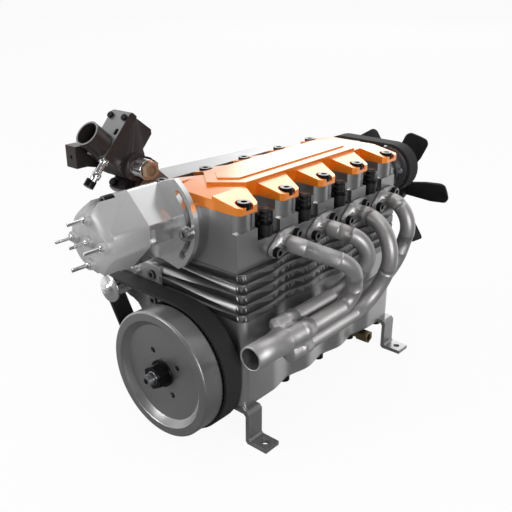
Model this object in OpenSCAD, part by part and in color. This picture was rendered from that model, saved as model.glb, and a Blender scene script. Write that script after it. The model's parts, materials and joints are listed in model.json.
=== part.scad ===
// Model inline four engine: bench model with a belt driven starter, distributor and cooling fan.
// Millimetres. +Z up, +X exhaust side, -Y flywheel and distributor end, +Y fan end.
// Origin: centre of the four foot bolt holes, on the soles of the feet, under the crankshaft.

/* [Cylinders and crankcase] */
// Distance between neighbouring cylinder axes
cyl_pitch = 22; // [21:0.5:24]
// Cylinder bore
cyl_bore = 16.6; // [14:0.2:17]
// Piston stroke
stroke = 16; // [12:0.5:16]
// Height of the crankshaft axis above the soles of the feet
crank_z = 27; // [26:0.5:32]
// Width of the crankcase across its cylinder bulges
case_w = 46.8; // [46:0.4:50]
// Metal past the last cylinder bay at each end
end_wall = 5; // [5:0.5:7]
// Crankshaft axis down to the sump joint
case_drop = 11.6; // [11.6:0.2:13]
// Crankshaft axis up to the crankcase deck
case_rise = 20.4; // [20:0.2:22]
// Depth of the waves between the cylinder bulges
wave_depth = 1.7; // [1:0.1:2]
// Thickness of the sump plate
sump_t = 1.8; // [1.4:0.1:2.4]

/* [Cylinder block] */
// Height of the finned block
block_h = 17.5; // [16:0.5:20]
// Number of cooling grooves round the block
fin_grooves = 4; // [3:1:5]
// Width of one cooling groove
groove_w = 1.2; // [0.8:0.1:1.6]
// Depth of one cooling groove
groove_depth = 1.7; // [1:0.1:2]
// Wall of a cylinder liner
liner_wall = 1.2; // [0.8:0.1:1.4]
// Thickness of the head gasket
gasket_t = 0.4; // [0.3:0.1:0.8]

/* [Cylinder head and cover] */
// Width of the head over its screw columns
head_w = 41.8; // [41:0.2:43]
// Height of the head
head_h = 20; // [19:0.5:22]
// Height of the port pads above the block
pad_h = 13.6; // [13:0.2:15]
// Camshaft axis above the head joint
cam_rise = 12.7; // [12.5:0.1:13.5]
// Camshaft axis in from the side of the head
cam_inset = 8.4; // [8.2:0.1:8.8]
// Cover screw axis in from the side of the head
cover_screw_inset = 1.2; // [1.2:0.05:1.6]
// Height of the cover at its outer edge
cover_edge_h = 2.5; // [2.3:0.1:3.2]
// Height of the cover at the foot of its raised deck
cover_roof_h = 4.7; // [4.2:0.1:5.2]
// Height of the raised deck above the roof
deck_step = 1.1; // [0.8:0.1:1.6]
// Half width of the raised deck
deck_half_w = 10.3; // [9:0.1:10.6]

/* [Crank and belts] */
// Tooth pitch of both toothed belts
belt_pitch = 2; // [1.9:0.05:2.1]
// Width of the starter belt
starter_belt_w = 7.6; // [6.6:0.2:8]
// Teeth on the starter ring behind the flywheel
ring_teeth = 74; // [72:1:74]
// Teeth on the starter pulley
starter_teeth = 12; // [12:1:14]
// Teeth on each camshaft sprocket
cam_teeth = 30; // [28:2:30]
// Width of the timing belt
timing_belt_w = 7; // [6:0.2:8]
// Radius of the crankshaft main journals
main_r = 4; // [3.6:0.1:4.2]
// Radius of the crank pins
crankpin_r = 2.6; // [2.2:0.1:2.7]
// Radius of the flywheel
flywheel_r = 23.6; // [23.6:0.1:25]
// Width of the flywheel rim
flywheel_w = 8.6; // [7.6:0.2:10]
// Radius of the crankshaft nose that carries the flywheel
nose_r = 2.5; // [2:0.1:2.8]

/* [Exhaust] */
// Outside radius of an exhaust pipe
pipe_r = 3.05; // [2.6:0.05:3.2]
// Outside radius of the exhaust outlet
outlet_r = 4.5; // [4:0.1:5]
// Wall of the outlet tube
outlet_wall = 0.8; // [0.6:0.1:1.2]
// Distance between the two screws of one exhaust flange, along the head
flange_screw_dy = 10.9; // [10:0.1:12]
// Height step between the two screws of one exhaust flange
flange_screw_dz = 4; // [3:0.5:5]

/* [Intake] */
// Inside radius of the carburettor mouth
mouth_r = 4; // [3.6:0.1:4.2]
// Wall of the carburettor mouth
mouth_wall = 0.65; // [0.5:0.05:1]
// Tilt of the carburettor bore below the horizontal, in degrees
carb_tilt = 42.2; // [40:0.2:45]
// Width of the carburettor body
carb_w = 10; // [10:0.2:12]
// Radius of the throttle barrel
barrel_r = 3.2; // [3:0.1:3.6]
// Wall of the intake plenum
plenum_wall = 1.6; // [1.2:0.1:2]

/* [Distributor and fan] */
// Radius of the ring of cap terminals
terminal_ring_r = 7.6; // [7:0.1:8]
// Radius of one cap terminal
terminal_r = 0.65; // [0.5:0.05:0.8]
// Radius of the timing slot in the distributor flange
slot_ring_r = 15.7; // [15.4:0.1:16]
// Radius of the fan over its blade tips
fan_r = 29; // [26:0.5:30]
// Number of fan blades
fan_blades = 6; // [5:1:7]

/* [Feet and fits] */
// Distance between the foot holes across the engine
foot_span_x = 61.6; // [61:0.2:66]
// Foot holes in from the ends of the crankcase
foot_end_inset = 3.2; // [2.9:0.1:3.4]
// Radius of a foot hole
foot_hole_r = 1.35; // [1.1:0.05:1.6]
// Width of a foot strap
foot_w = 7.2; // [6.4:0.2:8]
// Thickness of the foot strap
foot_t = 1.6; // [1.2:0.1:2]
// Radial running clearance of shafts in their bearings
run_fit = 0.05; // [0.02:0.01:0.1]
// Gap between parts that pass each other
pass_gap = 0.3; // [0.3:0.05:0.4]

/* [Hidden] */
$fn = 48;

cylinders = 4;
case_len = cylinders * cyl_pitch + 2 * end_wall;
front_y = -case_len / 2;
rear_y = case_len / 2;
function cyl_y(i) = (i - (cylinders - 1) / 2) * cyl_pitch;
function bay_y(i) = (i - cylinders / 2) * cyl_pitch;

sump_z = crank_z - case_drop;
deck_z = crank_z + case_rise;
block_top = deck_z + block_h;
head_z = block_top + gasket_t;
cover_z = head_z + head_h;
cam_z = head_z + cam_rise;
half_w = case_w / 2;
corner_r = 3.2;
head_half_w = head_w / 2;
pad_half_w = head_half_w + 0.3;
cam_x = head_half_w - cam_inset;
cover_screw_x = head_half_w - cover_screw_inset;
foot_span_y = case_len - 2 * foot_end_inset;

// Screws: M2.5 with 4.5 mm heads on the cover and sump, M2 with 3.8 mm heads elsewhere
m25_r = 1.25;
m25_head_r = 2.25;
m25_head_h = 2.5;
m2_r = 1;
m2_head_r = 1.9;
m2_head_h = 2;
cover_thread_r = 1;
thread_len = 5;
sump_screw_x = half_w - 3.4;

// Crank train
throw_r = stroke / 2;
web_r = throw_r + crankpin_r + 0.4;
web_t = 2.4;
crankpin_len = 6;
seal_t = 1.6;
ring_w = starter_belt_w + 0.6;
ring_front_y = front_y - seal_t - pass_gap - ring_w;
flywheel_back_y = ring_front_y;
flywheel_front_y = flywheel_back_y - flywheel_w;
flywheel_dish = 2.3;
flywheel_hole_ring = 8.7;
flywheel_hole_r = 1.1;
nut_seat_y = flywheel_front_y + flywheel_dish;
washer_t = 1;
nut_h = 3.8;
nut_front_y = nut_seat_y - washer_t - nut_h;
nose_end_y = nut_front_y - 3;
nose_tip_r = nose_r - 0.2;
nose_hole_r = 1;

// Belts: pitch circle, tooth tip and back of a toothed pulley
function pitch_r(teeth) = teeth * belt_pitch / (2 * PI);
tip_drop = 0.25;
tooth_h = 0.75;
belt_t = 1;
function tip_r(teeth) = pitch_r(teeth) - tip_drop;
function belt_in(teeth) = tip_r(teeth) + pass_gap;
crank_teeth = cam_teeth / 2;
timing_front_y = rear_y + 10;
timing_back_y = timing_front_y + timing_belt_w;
idler_x = 10.5;
idler_z = crank_z + 33.5;
idler_r = 3.3;

// Starter
starter_x = -half_w - 11.2;
starter_z = crank_z + 19.9;
motor_r = 7.4;
motor_len = 30;
bracket_t = 1.6;

// Fan drive
fan_axis_z = crank_z + 34.5;
fan_pulley_r = 5;
fan_belt_t = 1.2;
fan_belt_w = 3;
fan_belt_y = timing_back_y + 1.6;
fan_y = fan_belt_y + fan_belt_w + 14.4;

// Exhaust: port centres, tube cluster at the collector
port_dy = 6.8;
port_z = head_z + 5.3;
function port_y(i) = cyl_y(i) + port_dy;
flange_t = 1.6;
flange_x = pad_half_w + gasket_t;
cluster_x = 32.5;
cluster_z = crank_z + 13.6;
cluster_half = 3.45;
cluster_turn = -10;
collector_y = -29;
outlet_y = -55.6;

// Carburettor frame: origin at the top edge of the front cover plate
carb_x = -pad_half_w - 9.8;
carb_y = front_y - 1.5;
carb_z = cover_z + 28;
carb_plate_t = 3.2;
carb_plate_len = 18.9;
carb_depth = 12.4;
carb_bore_w = carb_plate_len - 4.3;
barrel_u = 12.4;
carb_outlet_u = 18.2;
flange_screw_w = carb_bore_w + 6.7;
flange_end_w = flange_screw_w + 1.8;
throat_r = mouth_r - 0.4;
horn_len = 7.6;
plenum_top = cover_z + 1.3;
plenum_near_x = -pad_half_w - 3.4;
plenum_rear_y = 26;
plenum_bottom = head_z + 6.7;
runner_r = 3.2;
runner_dy = -10.5;
runner_z = head_z + 10.4;
runner_screw_dy = 3.1;
runner_screw_dz = -5;
function runner_y(i) = cyl_y(i) + runner_dy;
intake_flange_t = 1.8;

// Distributor
dist_x = -cam_x;
dist_z = cam_z;
dist_flange_t = 2;
dist_boss_t = 1.9;
dist_back_y = front_y - dist_boss_t - pass_gap;
dist_flange_y = dist_back_y - dist_flange_t;
dist_joint_y = -66;
dist_front_y = -83;
terminal_len = 6.4;
terminal_foot_r = 0.85;
section_in = 10.2;
section_x = 10.9;
slot_half_w = 1.3;
slot_from = -43;
slot_to = 46;
clamp_angle = -5;

// Points on an arc about a centre
function arc(c, r, a0, a1, n) = [for (i = [0:n]) let (a = a0 + (a1 - a0) * i / n) c + r * [cos(a), sin(a)]];

// Rectangle with round corners, as an outline
function round_rect(w, l, r) = concat(
    arc([w / 2 - r, l / 2 - r], r, 0, 90, 5), arc([-w / 2 + r, l / 2 - r], r, 90, 180, 5),
    arc([-w / 2 + r, -l / 2 + r], r, 180, 270, 5), arc([w / 2 - r, -l / 2 + r], r, 270, 360, 5));

// Half width of the engine side at y: bulges at the cylinders, valleys at the bay walls
function side_x(y, inset) = half_w - inset
    - (abs(y) < cyl_y(cylinders - 1) ? wave_depth * (1 + cos(360 * y / cyl_pitch)) / 2 : 0);
wave_steps = 12 * (cylinders - 1);
wave_end = cyl_y(cylinders - 1);
function wave_side(inset) = [for (i = [0:wave_steps])
    let (y = -wave_end + 2 * wave_end * i / wave_steps) [side_x(y, inset), y]];
function case_outline(inset) = let (
    r = corner_r, x = half_w - inset - r, y = case_len / 2 - inset - r, right = wave_side(inset)) concat(
    arc([x, -y], r, -90, 0, 5), right, arc([x, y], r, 0, 90, 5), arc([-x, y], r, 90, 180, 5),
    [for (p = right) [-p[0], -p[1]]], arc([-x, -y], r, 180, 270, 5));

// Outline of a belt that runs round circles [x, y, r], listed anticlockwise
function tangent_angle(a, b) = atan2(b[1] - a[1], b[0] - a[0])
    - acos((a[2] - b[2]) / norm([b[0] - a[0], b[1] - a[1]]));
function unwrap(a0, a1, r) = r < 0 ? (a1 > a0 ? a1 - 360 : a1) : (a1 < a0 ? a1 + 360 : a1);
function belt_outline(c, extra, steps) = [for (j = [0:len(c) - 1])
    let (n = len(c), a0 = tangent_angle(c[(j + n - 1) % n], c[j]))
    let (a1 = unwrap(a0, tangent_angle(c[j], c[(j + 1) % n]), c[j][2]))
    for (p = arc([c[j][0], c[j][1]], c[j][2] + extra, a0, a1, steps)) p];

// Outline of a toothed pulley
function toothed(teeth, tip) = [for (i = [0:teeth - 1]) for (k = [0:3])
    let (a = 360 / teeth, turn = [-0.30, -0.18, 0.18, 0.30][k], r = [tip - tooth_h, tip, tip,
        tip - tooth_h][k])
    r * [cos((i + turn) * a), sin((i + turn) * a)]];

// Cylinder whose axis runs along +Y from y0 to y1
module ycyl(x, z, y0, y1, r, r_end = undef) {
    translate([x, y0, z]) rotate([-90, 0, 0]) cylinder(h = y1 - y0, r1 = r, r2 = r_end == undef ? r : r_end);
}

// Cylinder whose axis runs along +X from x0 to x1
module xcyl(y, z, x0, x1, r) {
    translate([x0, y, z]) rotate([0, 90, 0]) cylinder(h = x1 - x0, r = r);
}

// Outline in X and Z, extruded along Y from y0 to y1
module yslab(y0, y1) {
    translate([0, y1, 0]) rotate([90, 0, 0]) linear_extrude(height = y1 - y0) children();
}

// Outline in Y and Z, extruded along X from x0 to x1
module xslab(x0, x1) {
    translate([x0, 0, 0]) rotate([90, 0, 90]) linear_extrude(height = x1 - x0) children();
}

// Socket head screw: head above z 0, shank below, hexagon socket in the head
module cap_screw(shank_r, head_r, head_h, len) {
    difference() {
        union() {
            cylinder(h = head_h, r = head_r);
            translate([0, 0, -len]) cylinder(h = len, r = shank_r);
        }
        translate([0, 0, head_h * 0.45]) cylinder(h = head_h, r = head_r * 0.52, $fn = 6);
    }
}

// Round tube along points with its own bend radius at each inner point; the straights run a little
// way into the bends, which are a hair thicker
bend_lap = 0.2;
bend_swell = 0.03;
module bent_rod(points, bends, r) {
    n = len(points);
    function dir(i) = (points[i + 1] - points[i]) / norm(points[i + 1] - points[i]);
    function turn(i) = acos(dir(i - 1) * dir(i));
    function cut(i) = i == 0 || i == n - 1 ? 0 : bends[i - 1] * tan(turn(i) / 2);
    for (i = [0:n - 2]) {
        a = dir(i);
        lap_a = i == 0 ? 0 : bend_lap;
        lap_b = i == n - 2 ? 0 : bend_lap;
        start = points[i] + a * (cut(i) - lap_a);
        length = norm(points[i + 1] - points[i]) - cut(i) - cut(i + 1) + lap_a + lap_b;
        translate(start) rotate([0, acos(a[2]), atan2(a[1], a[0])]) cylinder(h = length, r = r);
    }
    for (i = [1:n - 2]) {
        a = dir(i - 1);
        b = dir(i);
        inward = (b - a * (a * b)) / norm(b - a * (a * b));
        centre = points[i] - a * cut(i) + inward * bends[i - 1];
        up = cross(-inward, a);
        multmatrix([
            [-inward[0], a[0], up[0], centre[0]],
            [-inward[1], a[1], up[1], centre[1]],
            [-inward[2], a[2], up[2], centre[2]]])
            rotate_extrude(angle = turn(i)) translate([bends[i - 1], 0]) circle(r = r + bend_swell);
    }
}

// Crankcase: open bottomed casting, bay walls carry the main bearings
module crankcase() {
    bay = cyl_pitch - 5;
    color("#77797c") difference() {
        translate([0, 0, sump_z]) linear_extrude(height = deck_z - sump_z) polygon(case_outline(0));
        for (i = [0:cylinders - 1]) {
            translate([-15, cyl_y(i) - bay / 2, sump_z - 1]) cube([30, bay, deck_z - sump_z - 4]);
            translate([0, cyl_y(i), deck_z - 6]) cylinder(h = 7, r = cyl_bore / 2 + liner_wall + run_fit);
        }
        ycyl(0, crank_z, front_y - 1, rear_y + 1, bearing_r);
        for (sx = [-1, 1], i = [0:cylinders])
            translate([sx * sump_screw_x, screw_y(i), sump_z - 1]) cylinder(h = thread_len + 1, r = m25_r);
        bracket_holes(m2_r, front_y - 1, front_y + thread_len, [0]);
    }
}
bearing_r = main_r + 1.6;
function screw_y(i) = bay_y(i);

// Sump plate under the crankcase
module sump_plate() {
    color("#6d6f72") translate([0, 0, sump_z - sump_t]) difference() {
        linear_extrude(height = sump_t) polygon(case_outline(0));
        for (sx = [-1, 1], i = [0:cylinders])
            translate([sx * sump_screw_x, screw_y(i), -1]) cylinder(h = sump_t + 2, r = m25_r + run_fit);
        translate([drain_x, drain_y, -1]) cylinder(h = sump_t + 2, r = drain_r);
    }
}
drain_x = 17;
drain_y = 31;
drain_r = 1.6;

// Sump screws: the corner ones pass through the feet first
module sump_screws() {
    color("#2a2b2d") for (sx = [-1, 1], i = [0:cylinders]) {
        drop = i == 0 || i == cylinders ? foot_t : 0;
        translate([sx * sump_screw_x, screw_y(i), sump_z - sump_t - drop]) rotate([180, 0, 0])
            cap_screw(m25_r, m25_head_r, 1.6, sump_t + drop + thread_len);
    }
}

// Brass drain plug: stem in the sump, hexagon body lying along X
module drain_plug() {
    body_z = sump_z - sump_t - 3.6;
    color("#b59a5b") difference() {
        union() {
            translate([drain_x, drain_y, body_z]) cylinder(h = 3.6 + sump_t, r = drain_r);
            xcyl(drain_y, body_z, drain_x - 2, drain_x + 4.5, 2);
            translate([drain_x + 3, drain_y, body_z]) rotate([0, 90, 0]) cylinder(h = 5, r = 2.9, $fn = 6);
        }
        xcyl(drain_y, body_z, drain_x + 6, drain_x + 9, 1.4);
    }
}

// Four bent straps: a tab under the sump, a leg and a sole with a bolt hole
module feet() {
    top = sump_z - sump_t;
    leg_x = half_w + 1.2;
    inner = sump_screw_x - 4;
    tip_x = foot_span_x / 2 + 3.4;
    color("#7d7f83") for (sx = [-1, 1], sy = [-1, 1]) scale([sx, sy, 1]) difference() {
        yslab(foot_span_y / 2 - foot_w / 2, foot_span_y / 2 + foot_w / 2) polygon([
            [inner, top - foot_t], [leg_x - 0.9, top - foot_t], [leg_x, top - foot_t - 0.9],
            [leg_x, 0.9], [leg_x + 0.9, 0], [tip_x, 0], [tip_x, foot_t],
            [leg_x + foot_t + 0.7, foot_t], [leg_x + foot_t, foot_t + 0.7],
            [leg_x + foot_t, top - 1.1], [leg_x + foot_t - 1.1, top], [inner, top]]);
        translate([foot_span_x / 2, foot_span_y / 2, -1]) cylinder(h = foot_t + 2, r = foot_hole_r);
        translate([sump_screw_x, bay_y(cylinders), top - foot_t - 1])
            cylinder(h = foot_t + 2, r = m25_r + run_fit);
    }
}

// Finned block: grooves run all the way round it
module cylinder_block() {
    step = block_h / (fin_grooves + 0.6);
    color("#3b3d40") difference() {
        translate([0, 0, deck_z]) linear_extrude(height = block_h) polygon(case_outline(0));
        for (i = [0:fin_grooves - 1])
            translate([0, 0, deck_z + step * (i + 0.8) - groove_w / 2]) linear_extrude(height = groove_w)
                difference() {
                    square([2 * case_w, 2 * case_len], center = true);
                    polygon(case_outline(groove_depth));
                }
        for (i = [0:cylinders - 1])
            translate([0, cyl_y(i), deck_z - 1])
                cylinder(h = block_h + 2, r = cyl_bore / 2 + liner_wall + run_fit);
        bracket_holes(m2_r, front_y - 1, front_y + thread_len, [1]);
    }
}

// Cylinder liners, from the bay roof up to the head gasket
module cylinder_liners() {
    foot = deck_z - 4;
    color("#8c8f93") for (i = [0:cylinders - 1]) translate([0, cyl_y(i), foot]) difference() {
        cylinder(h = block_top - foot, r = cyl_bore / 2 + liner_wall);
        translate([0, 0, -1]) cylinder(h = block_top - foot + 2, r = cyl_bore / 2);
    }
}

// Head gasket with a hole at each cylinder
module head_gasket() {
    color("#57504a") translate([0, 0, block_top]) difference() {
        linear_extrude(height = gasket_t) polygon(round_rect(head_w, case_len, 2));
        for (i = [0:cylinders - 1]) translate([0, cyl_y(i), -1]) cylinder(h = gasket_t + 2, r = cyl_bore / 2);
    }
}

// Plug wells: round, open to the side, between the cover bosses
function well_y(i) = cyl_y(i);
shelf_z = cam_z + 3.9;
well_floor = head_z + 9;
well_in = cam_x + 3.9;
well_r = 5.8;
column_r = 7;

// Cylinder head: side columns under the cover bosses, wells between them, port pads below
module cylinder_head() {
    cam_bore = cam_journal_r + run_fit;
    color("#4a4c50") difference() {
        union() {
            translate([0, 0, head_z]) linear_extrude(height = head_h)
                polygon(round_rect(head_w - 4, case_len, 0.8));
            translate([0, 0, head_z]) linear_extrude(height = well_floor - head_z)
                polygon(round_rect(2 * pad_half_w, case_len, 1.6));
            for (i = [0:cylinders]) {
                boss_len = min(bay_y(i) + boss_w / 2, rear_y) - boss_lo(i);
                translate([-pad_half_w, boss_lo(i), head_z]) cube([2 * pad_half_w, boss_len, pad_h]);
                for (sx = [-1, 1]) intersection() {
                    translate([sx * (head_half_w - column_r), bay_y(i), head_z]) cylinder(h = head_h,
                        r = column_r);
                    translate([-head_w, boss_lo(i), head_z]) cube([2 * head_w, boss_len, head_h]);
                }
            }
            intersection() {
                ycyl(dist_x, dist_z, front_y - dist_boss_t, front_y + 1, slot_ring_r + 2.6);
                translate([-pad_half_w, front_y - 9, head_z]) cube([2 * pad_half_w, 18, head_h]);
            }
        }
        ycyl(dist_x, dist_z, front_y - 3, front_y - 0.4, spigot_r + run_fit);
        ycyl(-cam_x, cam_z, front_y - 3, rear_y + 1, cam_bore);
        ycyl(cam_x, cam_z, front_y + 2.6, rear_y + 1, cam_bore);
        for (sx = [-1, 1], i = [0:cylinders - 1]) {
            translate([0, 0, shelf_z]) linear_extrude(height = head_h) polygon([
                [sx * (deck_half_w + 0.3), bay_y(i) + 11.2], [sx * head_w, bay_y(i) - 1],
                [sx * head_w, bay_y(i + 1) - 5.1], [sx * (deck_half_w + 0.3), bay_y(i + 1) - 5.1]]);
            translate([sx * (well_in + well_r), well_y(i), well_floor]) cylinder(h = head_h, r = well_r);
        }
        for (i = [0:cylinders - 1])
            translate([plug_x, well_y(i), well_floor - 5]) cylinder(h = 6, r = plug_thread_r);
        for (sx = [-1, 1], i = [0:cylinders])
            translate([sx * cover_screw_x, screw_y(i), cover_z - thread_len]) cylinder(h = 6,
                r = cover_thread_r);
        for (i = [0:cylinders - 1])
            xcyl(runner_y(i) + runner_screw_dy, runner_z + runner_screw_dz, -pad_half_w - 1,
                -pad_half_w + 3.5, 0.9);
        for (i = [0:cylinders - 1], s = [-1, 1])
            xcyl(port_y(i) + s * flange_screw_dy / 2, port_z + s * flange_screw_dz / 2,
                pad_half_w - 3, pad_half_w + 1, m2_r);
        clamp_place() cylinder(h = 5, r = m2_r);
        translate([0, 0, head_z - 1]) intersection() {
            linear_extrude(height = 3.2) square([head_w - 6, case_len - 8], center = true);
            for (i = [0:cylinders - 1]) translate([0, cyl_y(i), 0]) cylinder(h = 3.2, r = cyl_bore / 2);
        }
    }
}
cam_journal_r = 3.6;
cam_core_r = 2.4;
spigot_r = 5.5;
plug_x = well_in + 2.8;
plug_thread_r = 1.3;
boss_w = 10.2;
function boss_lo(i) = max(bay_y(i) - boss_w / 2, front_y);

// Valve cover: sloping bosses, raised deck pointed at both ends with a plain raised panel on it, two
// facets in front of the nose and spot faced screw seats that break the outer wall
module valve_cover() {
    nose_y = front_y + 7.8;
    roof_z = cover_z + cover_roof_h;
    edge_x = cover_screw_x + 2.5;
    panel_w = deck_half_w - 4.5;
    panel_y = nose_y + 5.3;
    color("#f08a1d") difference() {
        union() {
            difference() {
                intersection() {
                    translate([0, 0, cover_z]) linear_extrude(height = cover_roof_h + 1) cover_plan(edge_x);
                    yslab(front_y + 0.2, rear_y) polygon([
                        [-edge_x - 1, cover_z], [edge_x + 1, cover_z], [edge_x + 1, cover_z + cover_edge_h],
                        [edge_x, cover_z + cover_edge_h], [deck_half_w, roof_z], [-deck_half_w, roof_z],
                        [-edge_x, cover_z + cover_edge_h], [-edge_x - 1, cover_z + cover_edge_h]]);
                }
                for (s = [-1, 1]) translate([0, 0, roof_z]) rotate([0, s * facet_lean, 0])
                    xslab(min(0, s * facet_half_w), max(0, s * facet_half_w))
                        polygon([[front_y - 1, -0.95], [nose_y + 4.2, 0.52], [nose_y + 4.2, 3],
                            [front_y - 1, 3]]);
            }
            translate([0, 0, cover_z + 1]) linear_extrude(height = cover_roof_h - 1 + deck_step)
                deck_plan(deck_half_w, nose_y, 8.9, rear_y - 6, 9);
            translate([0, 0, roof_z]) linear_extrude(height = deck_step + 0.5)
                deck_plan(panel_w, panel_y, 5.1, rear_y - 15, 1);
        }
        translate([0, 0, cover_z - 1]) linear_extrude(height = cover_roof_h - 0.6)
            polygon(round_rect(2 * deck_half_w - 3, case_len - 12, 2));
        for (sx = [-1, 1], i = [0:cylinders]) translate([sx * cover_screw_x, screw_y(i), cover_z]) {
            translate([0, 0, -1]) cylinder(h = 9, r = m25_r + run_fit);
            translate([0, 0, cover_seat]) cylinder(h = 9, r = m25_head_r + 0.7);
        }
    }
}
cover_seat = 1.2;
facet_lean = 1.8;
facet_half_w = 9.9;

// Plan of the cover: body with a boss at each screw and a notch behind each boss
module cover_plan(edge_x) {
    right = [for (i = [0:cylinders]) let (y = bay_y(i)) each concat(
        [[deck_half_w - 0.3, max(y - 5.1, front_y + 0.2)], [edge_x - 1.4, max(y - 5.1, front_y + 0.2)],
            [edge_x, max(y - 3.7, front_y + 1.6)], [edge_x, y + 3.7], [edge_x - 1.2, y + 5.1]],
        i < cylinders ? [[deck_half_w - 0.3, y + 11.2]] : [])];
    left = [for (i = [len(right) - 1:-1:0]) [-right[i][0], right[i][1]]];
    intersection() {
        polygon(concat(right, left));
        translate([0, 0.1]) square([3 * edge_x, case_len - 0.2], center = true);
    }
}

// Plan shape pointed at the front and the rear: half width, nose and tail, and the length of each point
module deck_plan(w, nose, nose_len, tail, tail_len) {
    polygon([[0, nose], [w, nose + nose_len], [w, tail - tail_len], [0, tail], [-w, tail - tail_len],
        [-w, nose + nose_len]]);
}

// Ten cover screws in their spot faces
module cover_screws() {
    color("#26272a") for (sx = [-1, 1], i = [0:cylinders])
        translate([sx * cover_screw_x, screw_y(i), cover_z + cover_seat]) {
            cap_screw(cover_thread_r, m25_head_r, m25_head_h, cover_seat + thread_len - 0.5);
            translate([0, 0, -cover_seat]) cylinder(h = cover_seat, r = m25_r);
        }
}

// Rear bearing caps of the two camshafts
module cam_end_caps() {
    color("#5c5e62") for (sx = [-1, 1]) difference() {
        union() {
            ycyl(sx * cam_x, cam_z, rear_y, rear_y + 4, cam_journal_r + 2.4);
            translate([sx * cam_x - 7, rear_y, cam_z - 3]) cube([14, 2, 6]);
        }
        ycyl(sx * cam_x, cam_z, rear_y - 1, rear_y + 5, cam_journal_r + run_fit);
    }
}

// Plugs with their black boots, one per cylinder on the exhaust side: wide foot, waist and ribbed sleeve
module spark_plugs() {
    sleeve = cover_z - well_floor - 1.2;
    color("#1d1e20") for (i = [0:cylinders - 1]) translate([plug_x, well_y(i), well_floor]) {
        translate([0, 0, -4.5]) cylinder(h = 4.5, r = plug_thread_r);
        difference() {
            cylinder(h = 4.2, r = 2.7);
            translate([0, 0, 3.4]) cylinder(h = 2, r = 2.3);
        }
        cylinder(h = sleeve, r = 1.7);
        for (z = [5.4, 7, 8.6]) translate([0, 0, z]) cylinder(h = 0.6, r = 2.1);
        translate([0, 0, sleeve - 0.5]) cylinder(h = 0.5, r1 = 1.7, r2 = 1.1);
    }
}

// Plain main bearings in the bay walls, with a seal ring at the front
module main_bearings() {
    color("#a08a5a") for (i = [0:cylinders]) difference() {
        y0 = i == 0 ? front_y - seal_t : bay_y(i) - 2.5;
        y1 = i == cylinders ? rear_y + 1 : bay_y(i) + 2.5;
        union() {
            ycyl(0, crank_z, y0, y1, bearing_r);
            if (i == 0) ycyl(0, crank_z, y0, front_y, bearing_r + 2.6);
            if (i == cylinders) ycyl(0, crank_z, rear_y, y1, bearing_r + 1.6);
        }
        ycyl(0, crank_z, y0 - 1, y1 + 1, main_r + run_fit);
    }
}

// Crankshaft: five journals, round webs, pins one and four opposite pins two and three
module crankshaft() {
    color("#8e9196") {
        for (i = [0:cylinders - 1]) {
            side = i == 0 || i == cylinders - 1 ? 1 : -1;
            ycyl(side * throw_r, crank_z, cyl_y(i) - crankpin_len / 2, cyl_y(i) + crankpin_len / 2,
                crankpin_r);
            for (s = [-1, 1]) {
                y = cyl_y(i) + s * (crankpin_len + web_t) / 2;
                ycyl(0, crank_z, y - web_t / 2, y + web_t / 2, web_r);
            }
        }
        for (i = [0:cylinders]) {
            reach = crankpin_len / 2 + web_t;
            y0 = i == 0 ? ring_front_y : cyl_y(i - 1) + reach;
            y1 = i == cylinders ? fan_belt_y + fan_belt_w + 0.8 : cyl_y(i) - reach;
            ycyl(0, crank_z, y0, y1, main_r);
        }
        difference() {
            union() {
                ycyl(0, crank_z, nut_front_y, ring_front_y, nose_r);
                ycyl(0, crank_z, nose_end_y, nut_front_y, nose_tip_r);
            }
            ycyl(0, crank_z, nose_end_y - 1, nose_end_y + 4, nose_hole_r);
        }
    }
}

// Timing sprocket on the rear of the crankshaft
module crank_sprocket() {
    color("#6f7276") difference() {
        union() {
            translate([0, 0, crank_z]) yslab(timing_front_y - 0.3, timing_back_y + 0.3)
                polygon(toothed(crank_teeth, tip_r(crank_teeth) + sprocket_grow));
            ycyl(0, crank_z, timing_front_y - 1.3, timing_front_y - 0.3, tip_r(crank_teeth)
                + sprocket_grow + 0.9);
        }
        ycyl(0, crank_z, timing_front_y - 2, timing_back_y + 1, main_r);
    }
}
sprocket_grow = 0.9;

// Toothed starter ring on the crankshaft, behind the flywheel
module starter_ring() {
    color("#2f3134") difference() {
        translate([0, 0, crank_z]) yslab(ring_front_y, ring_front_y + ring_w) polygon(toothed(ring_teeth,
            tip_r(ring_teeth)));
        ycyl(0, crank_z, ring_front_y - 1, ring_front_y + ring_w + 1, main_r);
        ycyl(0, crank_z, ring_front_y + 3, ring_front_y + ring_w + 1, flywheel_r - 5);
        for (a = [32:90:302]) rotate_about_crank(a)
            ycyl(flywheel_hole_ring, 0, ring_front_y - 1, ring_front_y + 6, flywheel_hole_r);
    }
    color("#2f3134") difference() {
        ycyl(0, crank_z, ring_front_y + 3, ring_front_y + ring_w, main_r + 3);
        ycyl(0, crank_z, ring_front_y + 2, ring_front_y + ring_w + 1, main_r);
    }
}

module rotate_about_crank(a) {
    translate([0, 0, crank_z]) rotate([0, -a, 0]) children();
}

// Flywheel: heavy rim, dished face and four puller holes
module flywheel() {
    rim = 3.7;
    dish = flywheel_dish;
    color("#3a3c3f") difference() {
        translate([0, flywheel_back_y, crank_z]) rotate([90, 0, 0]) rotate_extrude($fn = 96) polygon([
            [nose_r, 0], [flywheel_r - 0.6, 0], [flywheel_r, 0.6], [flywheel_r, flywheel_w - 0.6],
            [flywheel_r - 0.6, flywheel_w], [flywheel_r - rim + 0.3, flywheel_w], [flywheel_r - rim,
                flywheel_w - 0.3],
            [flywheel_r - rim - 0.4, flywheel_w - 0.8], [flywheel_r - rim - 1.9, flywheel_w - dish],
            [nose_r, flywheel_w - dish]]);
        for (a = [32:90:302]) rotate_about_crank(a)
            ycyl(flywheel_hole_ring, 0, flywheel_front_y - 1, flywheel_back_y + 1, flywheel_hole_r);
    }
}

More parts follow.
